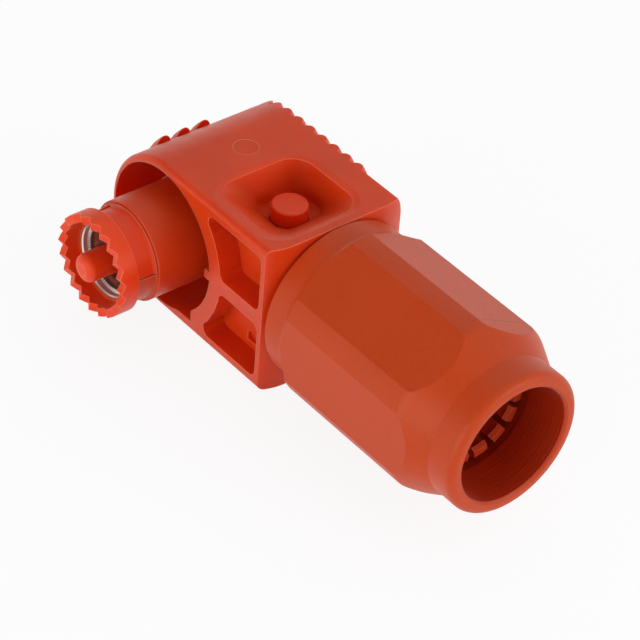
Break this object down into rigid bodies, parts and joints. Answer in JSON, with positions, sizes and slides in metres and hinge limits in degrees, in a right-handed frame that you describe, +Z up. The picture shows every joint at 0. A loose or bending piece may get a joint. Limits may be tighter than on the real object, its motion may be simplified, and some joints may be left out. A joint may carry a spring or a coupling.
{
  "type": "right angle power connector",
  "caption": "Right-angle plug for a heavy power cable: touch-proof socket with a toothed crown, button latch and a hexagonal cable gland nut.",
  "frame": {"origin": "on the axis of the mating socket, at the plane of the housing's front face", "axes": "-Y out of the socket towards the mating part, +X along the cable axis out of the gland nut, +Z up through the release button"},
  "size_m": [0.0925, 0.0472, 0.0336],
  "materials": {
    "orange_plastic": "moulded satin",
    "nut_plastic": "spark-eroded grain",
    "button_plastic": "moulded satin",
    "inner_plastic": "moulded satin",
    "plated_metal": "silver-plated, turned",
    "spring_steel": "drawn",
    "seal_rubber": "moulded"
  },
  "bodies": {
    "plug": {"housing": "orange_plastic", "crown_ring": "orange_plastic", "touch_guard_post": "orange_plastic", "contact_socket": "plated_metal", "contact_seal": "seal_rubber", "contact_basket": "plated_metal", "basket_front_ring": "plated_metal", "basket_rear_ring": "plated_metal", "contact_tongue": "plated_metal", "crimp_barrel": "plated_metal", "reducer_sleeve": "plated_metal", "barrel_bush": "inner_plastic", "button_spring": "spring_steel", "spigot_seal": "seal_rubber", "cable_seal": "seal_rubber", "thrust_washer": "inner_plastic"},
    "button": {"release_button": "button_plastic"},
    "latch": {"latch_plate": "spring_steel"},
    "gland_cage": {"clamp_cage": "inner_plastic"},
    "nut": {"gland_nut": "nut_plastic"}
  },
  "joints": [
    {"name": "button_press", "type": "slide", "parent": "plug", "child": "button", "axis": [0, 0, -1], "range_m": [0, 0.0013], "stiffness_N_per_m": 1500, "springref_m": -0.001, "deforming": ["button_spring"]},
    {"name": "latch_slide", "type": "slide", "parent": "plug", "child": "latch", "axis": [1, 0, 0], "range_m": [0, 0.00131]},
    {"name": "gland_slide", "type": "slide", "parent": "plug", "child": "gland_cage", "axis": [1, 0, 0], "range_m": [0, 0.0061]},
    {"name": "nut_turn", "type": "hinge", "parent": "gland_cage", "child": "nut", "pos_m": [0.05, 0.0146, 0], "axis": [1, 0, 0], "range_deg": [0, 1080]}
  ],
  "couplings": [
    {"joint": "latch_slide", "follows": "button_press", "ratio": 1},
    {"joint": "gland_slide", "follows": "nut_turn", "m_per_rad": 0.00031831}
  ]
}
